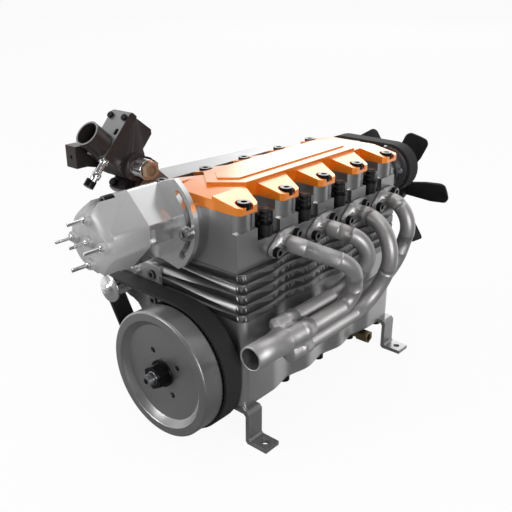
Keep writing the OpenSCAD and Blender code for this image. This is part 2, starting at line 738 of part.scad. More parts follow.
// Washer and hexagon nut that hold the flywheel
module flywheel_nut() {
    color("#2c2d30") difference() {
        union() {
            ycyl(0, crank_z, nut_seat_y - washer_t, nut_seat_y, 5.1);
            translate([0, nut_seat_y - washer_t, crank_z]) rotate([90, 30, 0]) cylinder(h = nut_h,
                r = 4.5, $fn = 6);
        }
        ycyl(0, crank_z, nut_front_y - 1, nut_seat_y + 1, nose_r);
    }
}

// Piston with gudgeon pin, cut away below for the crank webs
module piston(i, lift) {
    crown = block_top - stroke / 2 + lift;
    height = 8.8;
    translate([0, cyl_y(i), crown]) {
        difference() {
            translate([0, 0, -height]) cylinder(h = height - 0.3, r = cyl_bore / 2 - run_fit);
            translate([0, 0, -height - 1]) cylinder(h = height - 1.8, r = cyl_bore / 2 - 1.4);
            for (z = [1.6, 3.2]) translate([0, 0, -z - 0.4]) difference() {
                cylinder(h = 0.8, r = cyl_bore / 2 + 1);
                translate([0, 0, -1]) cylinder(h = 3, r = cyl_bore / 2 - 0.6);
            }
        }
        translate([0, cyl_bore / 2 - 1, -height + 2.8]) rotate([90, 0, 0]) cylinder(h = cyl_bore - 2,
            r = 1.3);
    }
}
module outer_pistons() {
    color("#a4a7ab") for (i = [0, cylinders - 1]) piston(i, 0);
}
module inner_pistons() {
    color("#a4a7ab") for (i = [1:cylinders - 2]) piston(i, 0);
}

// Camshaft: journals in the bay walls, two lobes a cylinder that pass through the bearings
module camshaft(x, front, first) {
    ycyl(x, cam_z, front, timing_back_y + 1, cam_core_r);
    for (i = [0:cylinders]) {
        y0 = i == 0 ? front : bay_y(i) - 3;
        y1 = i == cylinders ? timing_back_y + 1 : bay_y(i) + 3;
        ycyl(x, cam_z, y0, y1, cam_journal_r);
    }
    for (i = [0:cylinders - 1], dy = [-4.6, 4.6])
        translate([x, cyl_y(i) + dy, cam_z]) rotate([0, first + [0, 90, 270, 180][i], 0])
            ycyl(cam_journal_r - cam_core_r - 0.25, 0, -1.6, 1.6, cam_core_r + 0.1);
}
module intake_camshaft() {
    color("#97999d") camshaft(-cam_x, front_y + 0.2, 20);
}
module exhaust_camshaft() {
    color("#97999d") camshaft(cam_x, front_y + 3, 140);
}

// Camshaft sprocket with a hub and lightening holes
module cam_sprocket(x) {
    tip = tip_r(cam_teeth);
    difference() {
        union() {
            translate([x, 0, cam_z]) yslab(timing_front_y - 0.2, timing_back_y + 0.3)
                polygon(toothed(cam_teeth, tip));
            ycyl(x, cam_z, timing_front_y - 1.2, timing_front_y - 0.2, tip + 0.2);
            ycyl(x, cam_z, timing_front_y - 3, timing_front_y, cam_journal_r + 2);
        }
        ycyl(x, cam_z, timing_front_y - 4, timing_back_y + 1, cam_journal_r);
        for (a = [0:60:300]) translate([x, 0, cam_z]) rotate([0, a, 0]) ycyl(6.4, 0, timing_front_y - 2,
            timing_back_y + 1, 1.3);
    }
}
module intake_sprocket() {
    color("#6f7276") cam_sprocket(-cam_x);
}
module exhaust_sprocket() {
    color("#6f7276") cam_sprocket(cam_x);
}

// Roller behind the block that presses the timing belt inwards on the exhaust side
module belt_idler() {
    color("#9a9da1") {
        ycyl(idler_x, idler_z, rear_y, rear_y + 1.5, 2.8);
        ycyl(idler_x, idler_z, rear_y, timing_back_y + 0.6, 1.5);
        ycyl(idler_x, idler_z, timing_front_y - 0.6, timing_back_y + 0.3, idler_r);
    }
}

// Timing belt round the crank sprocket, past the idler and round both camshaft sprockets
module timing_belt() {
    loop = [[0, crank_z, belt_in(crank_teeth) + sprocket_grow],
        [idler_x, idler_z, -idler_r - pass_gap - belt_t],
        [cam_x, cam_z, belt_in(cam_teeth)], [-cam_x, cam_z, belt_in(cam_teeth)]];
    color("#2b2d2f") yslab(timing_front_y, timing_back_y) difference() {
        polygon(belt_outline(loop, belt_t, 12));
        polygon(belt_outline(loop, 0, 12));
    }
}

// Where pipe i enters the collector, on a square cluster turned a little
function cluster_at(a, b) = [
    cluster_x + cluster_half * (a * cos(cluster_turn) - b * sin(cluster_turn)), collector_y,
    cluster_z + cluster_half * (a * sin(cluster_turn) + b * cos(cluster_turn))];
pipe_end = [cluster_at(1, 1), cluster_at(-1, 1), cluster_at(1, -1), cluster_at(-1, -1)];
// Upper corner of each pipe, measured from its port, and how far its lower run starts behind the collector
pipe_corner = [[41.2 - 22, 14.5, -8.1], [42 - 22, 8.5, -5.2], [45.8 - 22, -6.4, -2], [35.5 - 22, -1.6, -6]];
pipe_run = [28, 31, 45.4, 69.3];
pipe_bends = [[6, 10.3, 5.6], [6, 9, 10], [6, 12.7, 14], [6, 9.5, 12.6]];
pipe_x = flange_x + flange_t;

// Exhaust pipes: each with its flange, bent round to the collector
module exhaust_pipes() {
    color("#b9babb") for (i = [0:cylinders - 1]) {
        port = [pipe_x, port_y(i), port_z];
        end = pipe_end[i];
        difference() {
            union() {
                bent_rod([port - [0.4, 0, 0], port + [5, 0, 0], port + pipe_corner[i],
                    end + [0, pipe_run[i], 0], end], pipe_bends[i], pipe_r);
                exhaust_flange(i, flange_x, pipe_x);
            }
            for (s = [-1, 1]) xcyl(port_y(i) + s * flange_screw_dy / 2, port_z + s * flange_screw_dz / 2,
                flange_x - 1, pipe_x + 1, m2_r + run_fit);
        }
    }
}

// Collector: a collar on the end of each pipe, a cone and the outlet tube
module exhaust_collector() {
    color("#b9babb") difference() {
        union() {
            for (end = pipe_end) {
                ycyl(end[0], end[2], end[1] - 6, end[1], pipe_r + 0.45);
                ycyl(end[0], end[2], end[1] - 10, end[1] - 6, pipe_r + 0.2);
            }
            ycyl(cluster_x, cluster_z, collector_y - 15, collector_y - 4, outlet_r, cluster_half + 2.6);
            ycyl(cluster_x, cluster_z, outlet_y, collector_y - 14, outlet_r);
        }
        ycyl(cluster_x, cluster_z, outlet_y - 1, collector_y - 12, outlet_r - outlet_wall);
    }
}

// Rhombic flange with round ears, from x0 to x1
module exhaust_flange(i, x0, x1) {
    length = norm([flange_screw_dy, flange_screw_dz]);
    slope = atan2(flange_screw_dz, flange_screw_dy);
    ear = 2.3;
    body = pipe_r + 1.1;
    lean = asin((body - ear) / (length / 2));
    side = concat(arc([length / 2, 0], ear, lean - 90, 90 - lean, 8), arc([0, 0], body, 90 - lean,
        90 + lean, 4),
        arc([-length / 2, 0], ear, 90 + lean, 270 - lean, 8), arc([0, 0], body, 270 - lean, 270 + lean, 4));
    translate([0, port_y(i), port_z]) xslab(x0, x1) rotate(slope) polygon(side);
}

// Gaskets between the exhaust flanges and the head
module exhaust_gaskets() {
    color("#8a8478") for (i = [0:cylinders - 1]) difference() {
        exhaust_flange(i, pad_half_w, flange_x);
        for (s = [-1, 1]) xcyl(port_y(i) + s * flange_screw_dy / 2, port_z + s * flange_screw_dz / 2,
            pad_half_w - 1, flange_x + 1, m2_r + run_fit);
    }
}

module exhaust_screws() {
    color("#26272a") for (i = [0:cylinders - 1], s = [-1, 1])
        translate([pipe_x, port_y(i) + s * flange_screw_dy / 2, port_z + s * flange_screw_dz / 2])
            rotate([0, 90, 0]) cap_screw(m2_r, m2_head_r, m2_head_h, flange_t + gasket_t + 2.8);
}

// Carburettor frame: first axis along the bore into the engine, second down the plates, X across
function uw(u, w) = [carb_y + u * cos(carb_tilt) - w * sin(carb_tilt), carb_z - u * sin(carb_tilt)
    - w * cos(carb_tilt)];
module carb_slab(x0, x1, pts) {
    xslab(x0, x1) polygon([for (p = pts) uw(p[0], p[1])]);
}
// Cylinder along the bore direction
module bore_cyl(x, w, u0, u1, r, r_end = undef) {
    p = uw(u0, w);
    translate([x, p[0], p[1]]) rotate([-90 - carb_tilt, 0, 0]) cylinder(h = u1 - u0, r1 = r,
        r2 = r_end == undef ? r : r_end);
}
// Cylinder down the plate direction
module plate_cyl(x, u, w0, w1, r, fn = 32) {
    p = uw(u, w0);
    translate([x, p[0], p[1]]) rotate([180 - carb_tilt, 0, 0]) cylinder(h = w1 - w0, r = r, $fn = fn);
}

// Intake plenum: folded box, tapered towards the rear, with four runners and the carburettor flange
module intake_plenum() {
    far_front = plenum_near_x - 14.1;
    far_rear = plenum_near_x - 8.1;
    flange_u = carb_outlet_u;
    a = uw(flange_u, carb_bore_w - 6.4);
    b = uw(flange_u, flange_end_w);
    c = uw(flange_u + 2.4, flange_end_w);
    d = uw(flange_u + 2.4, flange_end_w - 2.4);
    e = uw(flange_u + 2.4, carb_bore_w - 4.6);
    f = uw(flange_u + 2.4, carb_bore_w - 6.4);
    top_y = e[0] + (e[1] - plenum_top) / tan(carb_tilt);
    color("#c9cbcd") difference() {
        union() {
            intersection() {
                xslab(far_front - 2, plenum_near_x) polygon([a, b, c, d, [-42, plenum_bottom + 5],
                    [-38, plenum_bottom], [plenum_rear_y, plenum_bottom], [plenum_rear_y, plenum_top],
                        [top_y, plenum_top], e, f]);
                translate([0, 0, plenum_bottom - 1]) linear_extrude(height = 40) polygon([
                    [plenum_near_x, -70], [plenum_near_x, plenum_rear_y - 1.5], [plenum_near_x - 1.5,
                        plenum_rear_y],
                    [far_rear + 1.5, plenum_rear_y], [far_rear, plenum_rear_y - 1.5], [far_front, -36],
                        [far_front, -70]]);
            }
            for (i = [0:cylinders - 1]) {
                xcyl(runner_y(i), runner_z, plenum_near_x - 2, -pad_half_w - intake_flange_t, runner_r);
                translate([-pad_half_w - intake_flange_t, runner_y(i) - 5, runner_z - 7])
                    cube([intake_flange_t, 10, 10]);
            }
        }
        intersection() {
            xslab(far_front + plenum_wall, plenum_near_x - plenum_wall) polygon([
                [-36, plenum_bottom + plenum_wall], [plenum_rear_y - plenum_wall,
                    plenum_bottom + plenum_wall],
                [plenum_rear_y - plenum_wall, plenum_top - plenum_wall], [top_y, plenum_top - plenum_wall],
                [-36, plenum_top - plenum_wall]]);
            translate([0, 0, plenum_bottom]) linear_extrude(height = 30) polygon([
                [plenum_near_x, -70], [plenum_near_x, plenum_rear_y], [far_rear + plenum_wall,
                    plenum_rear_y - plenum_wall],
                [far_front + plenum_wall, -36], [far_front + plenum_wall, -70]]);
        }
        bore_cyl(carb_x, carb_bore_w, flange_u - 1, flange_u + 16, throat_r);
        for (sx = [-1, 1]) bore_cyl(carb_x + sx * 4.4, flange_screw_w, flange_u - 1, flange_u + 2,
            m2_r * 0.8);
        for (i = [0:cylinders - 1]) xcyl(runner_y(i) + runner_screw_dy, runner_z + runner_screw_dz,
            -pad_half_w - intake_flange_t - 1, -pad_half_w + 1, 0.9 + run_fit);
    }
}

// Screws through the intake flanges into the head
module plenum_screws() {
    color("#26272a") for (i = [0:cylinders - 1])
        translate([-pad_half_w - intake_flange_t, runner_y(i) + runner_screw_dy, runner_z + runner_screw_dz])
            rotate([0, -90, 0]) cap_screw(0.9, 1.6, 1.4, intake_flange_t + 3);
}

// Carburettor body: rear housing, barrel housing and outlet flange
module carburettor_body() {
    color("#2e3033") difference() {
        union() {
            carb_slab(carb_x - carb_w / 2, carb_x + carb_w / 2, [
                [carb_plate_t, 0.6], [carb_depth - 1.2, 0], [carb_depth, 1.2], [carb_depth,
                    carb_bore_w - 7.1],
                [carb_outlet_u - 2, carb_bore_w - 4.6], [carb_outlet_u - 2, carb_bore_w + 3.9],
                [10, carb_plate_len + 1.4], [6.2, carb_plate_len], [carb_plate_t, carb_plate_len]]);
            xcyl(barrel_p[0], barrel_p[1], carb_x - carb_w / 2 - 2, carb_x + carb_w / 2 + 2, barrel_r + 1.7);
            carb_slab(carb_x - 6.2, carb_x + 6.2, [[carb_outlet_u - 2, carb_bore_w - 6.2],
                [carb_outlet_u, carb_bore_w - 6.2], [carb_outlet_u, flange_end_w], [carb_outlet_u - 2,
                    flange_end_w]]);
        }
        bore_cyl(carb_x, carb_bore_w, carb_plate_t - 1, carb_outlet_u + 1, throat_r);
        xcyl(barrel_p[0], barrel_p[1], carb_x - carb_w, carb_x + carb_w / 2 + 0.6, barrel_r + run_fit);
        xcyl(barrel_p[0], barrel_p[1], carb_x + carb_w / 2, carb_x + carb_w, needle_r);
        for (sx = [-1, 1]) {
            bore_cyl(carb_x + sx * 4.4, flange_screw_w, carb_outlet_u - 3, carb_outlet_u + 1,
                m2_r * 0.8 + run_fit);
            bore_cyl(carb_x + sx * (carb_w / 2 - 1.3), plate_screw_w, 1, carb_plate_t + 4, m2_r * 0.7);
        }
    }
}
barrel_p = uw(barrel_u, carb_bore_w);
needle_r = 2.6;
plate_screw_w = 2.9;

// Front plate of the carburettor with the air horn
module carburettor_cover() {
    color("#4d5054") difference() {
        union() {
            carb_slab(carb_x - carb_w / 2, carb_x + carb_w / 2,
                [[0, 0.9], [0.9, 0], [carb_plate_t, 0], [carb_plate_t, carb_plate_len], [0, carb_plate_len]]);
            bore_cyl(carb_x, carb_bore_w, -horn_len, carb_plate_t, mouth_r + mouth_wall);
        }
        bore_cyl(carb_x, carb_bore_w, -horn_len - 1, carb_plate_t + 1, mouth_r);
        for (sx = [-1, 1])
            bore_cyl(carb_x + sx * (carb_w / 2 - 1.3), plate_screw_w, -1, carb_plate_t + 1,
                m2_r * 0.7 + run_fit);
        bore_cyl(carb_x + 3.2, 9, -1, 1.6, 0.9);
        bore_cyl(carb_x + 3.2, 8.2, -1, 1.6, 0.9);
    }
}

// Throttle barrel with its cross bore
module throttle_barrel() {
    color("#a9acb0") difference() {
        union() {
            xcyl(barrel_p[0], barrel_p[1], carb_x - carb_w / 2 - 2, carb_x + carb_w / 2 + 0.5, barrel_r);
            xcyl(barrel_p[0], barrel_p[1], carb_x - carb_w / 2 - 8.6, carb_x - carb_w / 2 - 2, 1.6);
        }
        bore_cyl(carb_x, carb_bore_w, carb_plate_t, carb_outlet_u + 1, barrel_r - 0.7);
    }
}

// Throttle lever clamped on the barrel, with a link block at its end
module throttle_lever() {
    x1 = carb_x - carb_w / 2 - 2 - pass_gap;
    x0 = x1 - 3.4;
    reach = 11.4;
    rise = 3.6;
    block = [barrel_p[0] - reach, barrel_p[1] + rise];
    color("#333538") difference() {
        union() {
            xcyl(barrel_p[0], barrel_p[1], x0, x1, 3.4);
            xslab(x0, x1) polygon([barrel_p + [0, -3], barrel_p + [1, 3.2], block + [0, 4], block + [0,
                -3.6]]);
            translate([x0 - 2.4, block[0] - 3.6, block[1] - 3.8]) cube([5.8, 4.4, 7.8]);
        }
        xcyl(barrel_p[0], barrel_p[1], x0 - 1, x1 + 1, 1.6);
        ycyl(x0 + 0.5, block[1], block[0] - 5, block[0] + 2.2, 0.7);
    }
}

// Chromed holder of the high speed needle: spigot in the carburettor, plain barrel outside
module needle_holder() {
    x0 = carb_x + carb_w / 2 + 0.8;
    color("#d4d6d8") difference() {
        union() {
            xcyl(barrel_p[0], barrel_p[1], x0, x0 + 2, needle_r);
            xcyl(barrel_p[0], barrel_p[1], carb_x + carb_w / 2 + 2, holder_end_x, holder_r);
        }
        xcyl(barrel_p[0], barrel_p[1], holder_end_x - 4, holder_end_x + 1, 1.5);
    }
}
holder_r = 3.6;
holder_end_x = carb_x + carb_w / 2 + 7.8;

// Brass hexagon nut and needle
module needle_nut() {
    x0 = holder_end_x + pass_gap;
    color("#c39a5e") difference() {
        union() {
            translate([x0, barrel_p[0], barrel_p[1]]) rotate([0, 90, 0]) cylinder(h = 1.9, r = 3.3, $fn = 6);
            xcyl(barrel_p[0], barrel_p[1], x0 - 3, x0, 1.5 - run_fit);
        }
        xcyl(barrel_p[0], barrel_p[1], x0 + 0.6, x0 + 3, 1.8);
    }
}

// Barbed fuel nipple on the lower edge of the carburettor
module fuel_nipple() {
    x = carb_x + carb_w / 2 - 1.4;
    u = carb_plate_t - 1.7;
    color("#d8d2c0") difference() {
        union() {
            plate_cyl(x, u, carb_plate_len, carb_plate_len + 1.4, 1.7);
            plate_cyl(x, u, carb_plate_len, carb_plate_len + 8.4, 1.2);
            plate_cyl(x, u, carb_plate_len + 5.4, carb_plate_len + 7.4, 1.6);
        }
        plate_cyl(x, u, carb_plate_len + 3, carb_plate_len + 9, 0.6);
    }
}

// Idle stop screw beside the nipple
module idle_screw() {
    x = carb_x - 1;
    u = carb_plate_t + 1.2;
    color("#1f2022") {
        plate_cyl(x, u, carb_plate_len, carb_plate_len + 7.4, 0.9);
        plate_cyl(x, u, carb_plate_len + 7.4, carb_plate_len + 10.2, 1.9, 12);
    }
}

// Screws of the carburettor: two in the front plate, two in the outlet flange
module carburettor_screws() {
    color("#1f2022") for (sx = [-1, 1]) {
        bore_cyl(carb_x + sx * (carb_w / 2 - 1.3), plate_screw_w, -0.9, carb_plate_t + 3.5, m2_r * 0.7);
        bore_cyl(carb_x + sx * (carb_w / 2 - 1.3), plate_screw_w, -0.9, 0, 1.2);
        bore_cyl(carb_x + sx * 4.4, flange_screw_w, carb_outlet_u - 3.2, carb_outlet_u + 1.8, m2_r * 0.8);
        bore_cyl(carb_x + sx * 4.4, flange_screw_w, carb_outlet_u - 3.4, carb_outlet_u - 2, 1.5);
    }
}

// Square section standing on a corner: round top and bottom, flat sides whose corners are eased by r
module dist_section(r) {
    top_r = 2;
    top = (section_in - top_r) * sqrt(2);
    x = section_x - r;
    z = (section_in - r) * sqrt(2) - x;
    polygon(concat(
        arc([x, z], r, 0, 45, 4), arc([0, top], top_r, 45, 135, 8), arc([-x, z], r, 135, 180, 4),
        arc([-x, -z], r, 180, 225, 4), arc([0, -top], top_r, 225, 315, 8), arc([x, -z], r, 315, 360, 4)));
}

// Angle about the distributor axis, seen from the front with +X to the right
module at_dist() {
    translate([dist_x, 0, dist_z]) children();
}
module clamp_place() {
    at_dist() rotate([0, -clamp_angle, 0]) translate([slot_ring_r, front_y - dist_boss_t, 0])
        rotate([-90, 0, 0]) children();
}

// Distributor housing with the ear that carries the timing slot
module distributor_housing() {
    slot_r = slot_ring_r;
    color("#e4e5e7") at_dist() difference() {
        union() {
            yslab(dist_joint_y, dist_flange_y) dist_section(0.5);
            yslab(dist_flange_y, dist_back_y) polygon(concat(
                [[-1, -12.9], [1.6, -14.3]], arc([0, 0], ear_r, -59, 60, 32), [[-1, 12.9]]));
            ycyl(0, 0, dist_flange_y - 1, dist_back_y, section_in);
            ycyl(0, 0, dist_back_y - 0.5, front_y - 0.6, spigot_r);
        }
        yslab(dist_flange_y - 1, dist_back_y + 1) {
            polygon(concat(arc([0, 0], slot_r + slot_half_w, slot_from, slot_to, 24),
                arc([0, 0], slot_r - slot_half_w, slot_to, slot_from, 24)));
            for (a = [slot_from, slot_to]) rotate(a) translate([slot_r, 0]) circle(r = slot_half_w);
        }
        ycyl(0, 0, dist_joint_y - 1, dist_joint_y + 6, 8.6);
        ycyl(0, 0, dist_joint_y - 1, front_y, rotor_shaft_r + run_fit);
        translate([section_x - 1.6, dist_joint_y - 1, -2.6]) cube([4, 3.4, 4.4]);
        for (s = [-1, 1]) ycyl(0, s * cap_screw_z, dist_joint_y - 1, dist_joint_y + 4, cap_screw_r);
    }
}
rotor_shaft_r = 2;
ear_r = slot_ring_r + 3;
cap_screw_z = 12.1;
cap_screw_r = 0.75;

// Distributor cap: eased corners, coned front, a low tower under each pin, screw channels top and bottom
module distributor_cap() {
    face_y = dist_front_y + 1.2;
    seat_y = dist_joint_y - 5.6;
    color("#a6a7a8") at_dist() difference() {
        union() {
            yslab(face_y + 4.2, dist_joint_y) dist_section(3);
            intersection() {
                yslab(face_y, face_y + 4.2) dist_section(3);
                ycyl(0, 0, face_y, face_y + 4.2, 9.2, 13.8);
            }
            for (a = [0:90:270]) rotate([0, a, 0])
                ycyl(terminal_ring_r, 0, dist_front_y, dist_front_y + 5, 1.9, 2.9);
            ycyl(0, 0, dist_front_y, dist_front_y + 5, 1.9, 2.9);
        }
        ycyl(0, 0, dist_joint_y - 7, dist_joint_y + 1, 8.6);
        for (a = [0:90:270]) rotate([0, a, 0])
            ycyl(terminal_ring_r, 0, dist_front_y - 1, dist_joint_y - 6, terminal_foot_r + 0.01);
        ycyl(0, 0, dist_front_y - 1, dist_joint_y - 6, terminal_foot_r + 0.01);
        for (s = [-1, 1]) {
            ycyl(0, s * cap_screw_z, dist_front_y, seat_y, 1.75);
            translate([-1.75, dist_front_y, s * (cap_screw_z + 1.5) - 1.5]) cube([3.5,
                seat_y - dist_front_y, 3]);
            ycyl(0, s * cap_screw_z, seat_y - 1, dist_joint_y + 1, cap_screw_r + run_fit);
        }
    }
}

// Five plug-in terminals of the cap, each with a collar
module cap_terminals() {
    color("#dfe1e3") at_dist() for (p = concat([[0, 0]], [for (a = [0:90:270]) terminal_ring_r * [cos(a),
        sin(a)]])) {
        ycyl(p[0], p[1], dist_front_y - terminal_len, dist_front_y - 0.9, terminal_r);
        ycyl(p[0], p[1], dist_front_y - 0.9, dist_front_y, 1.15);
        ycyl(p[0], p[1], dist_front_y, dist_joint_y - 8, terminal_foot_r);
    }
}

// Two long headed screws that hold the cap
module cap_screws() {
    color("#26272a") at_dist() for (s = [-1, 1]) translate([0, dist_joint_y - 5.6, s * cap_screw_z])
        rotate([90, 0, 0])
        cap_screw(cap_screw_r, 1.55, 4, 9);
}

// Rotor arm and shaft, driven by the intake camshaft
module rotor_arm() {
    color("#7a4a30") at_dist() {
        ycyl(0, 0, dist_joint_y - 2.4, front_y + 0.2, rotor_shaft_r);
        ycyl(0, 0, dist_joint_y - 3.4, dist_joint_y + 1, 3.4);
        translate([-1.4, dist_joint_y - 2.6, 0]) cube([2.8, 2, 7.2]);
    }
}

// Screw and washer that clamp the distributor through its slot
module timing_clamp_screw() {
    lift = dist_flange_t + pass_gap;
    color("#a9abae") clamp_place() translate([0, 0, -lift]) rotate([180, 0, 0]) {
        difference() {
            union() {
                cylinder(h = 0.6, r = 2.5);
                cylinder(h = 2.6, r = 2.2);
                translate([0, 0, -lift - 4]) cylinder(h = lift + 4, r = m2_r);
            }
            translate([0, 0, 1.3]) cylinder(h = 2, r = 1.15, $fn = 6);
        }
    }
}

// Starter motor beside the crankcase
module starter_motor() {
    y0 = front_y;
    color("#8b8d91") difference() {
        union() {
            ycyl(starter_x, starter_z, y0, y0 + motor_len, motor_r);
            ycyl(starter_x, starter_z, y0 - bracket_t - 0.9, y0, 3.2);
            ycyl(starter_x, starter_z, y0 + motor_len, y0 + motor_len + 2.4, 3.6);
        }
        ycyl(starter_x, starter_z, y0 - 5, y0 + 8, starter_shaft_r + run_fit);
    }
}
starter_shaft_r = 1.2;

// Small toothed pulley on the starter shaft, with a front flange
module starter_pulley() {
    tip = tip_r(starter_teeth);
    y0 = ring_front_y;
    color("#d5d6d8") {
        translate([starter_x, 0, starter_z]) yslab(y0, y0 + ring_w - 0.6) polygon(toothed(starter_teeth,
            tip));
        ycyl(starter_x, starter_z, y0 - 0.9, y0, tip + 1.6);
        ycyl(starter_x, starter_z, y0 - 2.4, y0 - 0.9, 2.2);
        ycyl(starter_x, starter_z, y0 + ring_w - 0.6, front_y + 7, starter_shaft_r);
    }
}

// Bracket plate that carries the starter, screwed to the front of the engine
module starter_bracket() {
    color("#9da0a4") difference() {
        union() {
            yslab(front_y - bracket_t, front_y) polygon(concat(
                arc([starter_x, starter_z], motor_r - 0.6, 60, 200, 12),
                [[-29.5, crank_z + 12.5], [-26, crank_z + 8.6], [-16.5, crank_z + 8.6], [-16.5,
                    crank_z + 31], [-26, crank_z + 31]]));
            ycyl(-28.3, crank_z + 26.7, front_y - bracket_t - 1.6, front_y, 1.4);
        }
        ycyl(starter_x, starter_z, front_y - bracket_t - 1, front_y + 1, 3.2 + run_fit);
        bracket_holes(m2_r + run_fit, front_y - bracket_t - 1, front_y + 1, [0, 1]);
    }
}
bracket_hole_z = [crank_z + 16.5, crank_z + 27];
module bracket_holes(r, y0, y1, which) {
    for (k = which) ycyl(-20.2, bracket_hole_z[k], y0, y1, r);
}
module bracket_screws() {
    color("#26272a") for (z = bracket_hole_z) translate([-20.2, front_y - bracket_t, z]) rotate([90, 0, 0])
        cap_screw(m2_r, m2_head_r, 0.8, bracket_t + thread_len - 0.6);
}

// Starter belt round the ring and the starter pulley
module starter_belt() {
    loop = [[0, crank_z, belt_in(ring_teeth)], [starter_x, starter_z, belt_in(starter_teeth)]];
    mid = ring_front_y + ring_w / 2;
    color("#26282a") yslab(mid - starter_belt_w / 2, mid + starter_belt_w / 2) difference() {
        polygon(belt_outline(loop, belt_t, 48));
        polygon(belt_outline(loop, 0, 48));
    }
}

// Bracket behind the engine with the bearing of the fan shaft
module fan_bracket() {
    color("#5c5e62") difference() {
        union() {
            ycyl(0, fan_axis_z, rear_y, fan_belt_y - 0.6, 4.6);
            yslab(rear_y, rear_y + 3) polygon(round_rect(14, 9, 3) + [for (i = [0:23]) [0, fan_axis_z]]);
        }
        ycyl(0, fan_axis_z, rear_y + 4, fan_belt_y, fan_shaft_r + run_fit);
    }
}
fan_shaft_r = 1.8;

// Fan shaft with its belt pulley
module fan_shaft() {
    y0 = fan_belt_y - 0.2;
    color("#a4a7ab") {
        ycyl(0, fan_axis_z, rear_y + 4.4, fan_y + 3.4, fan_shaft_r);
        ycyl(0, fan_axis_z, y0, y0 + fan_belt_w + 0.4, fan_pulley_r);
        for (y = [y0 - 0.3, y0 + fan_belt_w + 0.4]) ycyl(0, fan_axis_z, y, y + 0.3, fan_pulley_r + 0.2);
    }
}

// Cooling fan: pitched blades curved across their width, on a round hub
module fan() {
    blade_in = 6;
    hub_r = 8;
    root = 3.4;
    tip = 5.6;
    curve_r = 18;
    color("#1b1c1e") {
        difference() {
            union() {
                ycyl(0, fan_axis_z, fan_y - 2.2, fan_y + 2.2, hub_r);
                ycyl(0, fan_axis_z, fan_y - 8.4, fan_y - 2.2, 3.6, 5);
            }
            ycyl(0, fan_axis_z, fan_y - 9, fan_y + 3, fan_shaft_r);
        }
        for (k = [0:fan_blades - 1]) translate([0, fan_y, fan_axis_z]) rotate([0,
            -(k * 360 / fan_blades + fan_turn), 0])
            rotate([blade_pitch, 0, 0]) intersection() {
                xslab(blade_in, fan_r) translate([-curve_r, 0]) difference() {
                    circle(r = curve_r + 0.5);
                    circle(r = curve_r - 0.5);
                    translate([-2 * curve_r, 0]) square([3 * curve_r, 3 * curve_r], center = true);
                }
                yslab(-8, 8) polygon(concat([[blade_in, -root], [fan_r - 9, -tip]],
                    arc([fan_r - 2.6, -tip + 2.6], 2.6, -90, -10, 4), arc([fan_r - 2.6, tip - 2.6], 2.6,
                        10, 90, 4),
                    [[fan_r - 9, tip], [blade_in, root]]));
            }
    }
}
blade_pitch = 28;
fan_turn = 5;

// Flat belt from the crankshaft to the fan
module fan_belt() {
    loop = [[0, crank_z, fan_pulley_r + pass_gap], [0, fan_axis_z, fan_pulley_r + pass_gap]];
    color("#26282a") yslab(fan_belt_y, fan_belt_y + fan_belt_w) difference() {
        polygon(belt_outline(loop, fan_belt_t, 20));
        polygon(belt_outline(loop, 0, 20));
    }
}

// Plain pulley at the rear end of the crankshaft
module crank_fan_pulley() {
    y0 = fan_belt_y - 0.2;
    color("#6f7276") difference() {
        union() {
            ycyl(0, crank_z, y0, y0 + fan_belt_w + 0.4, fan_pulley_r);
            for (y = [y0 - 0.3, y0 + fan_belt_w + 0.4]) ycyl(0, crank_z, y, y + 0.3, fan_pulley_r + 0.2);
        }
        ycyl(0, crank_z, y0 - 1, y0 + fan_belt_w + 2, main_r);
    }
}

crankcase();
sump_plate();
sump_screws();
drain_plug();
feet();
cylinder_block();
cylinder_liners();
head_gasket();
cylinder_head();
valve_cover();
cover_screws();
cam_end_caps();
spark_plugs();
main_bearings();
crankshaft();
crank_sprocket();
starter_ring();
flywheel();
flywheel_nut();
outer_pistons();
inner_pistons();
intake_camshaft();
exhaust_camshaft();
intake_sprocket();
exhaust_sprocket();
belt_idler();
timing_belt();
exhaust_pipes();
exhaust_collector();
exhaust_gaskets();
exhaust_screws();
intake_plenum();
plenum_screws();
carburettor_body();
carburettor_cover();
throttle_barrel();
throttle_lever();
needle_holder();
needle_nut();
fuel_nipple();
idle_screw();
carburettor_screws();
distributor_housing();
distributor_cap();
cap_terminals();
cap_screws();
rotor_arm();
timing_clamp_screw();
starter_motor();
starter_pulley();
starter_bracket();
bracket_screws();
starter_belt();
fan_bracket();
fan_shaft();
fan();
fan_belt();
crank_fan_pulley();
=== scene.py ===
import json
import math

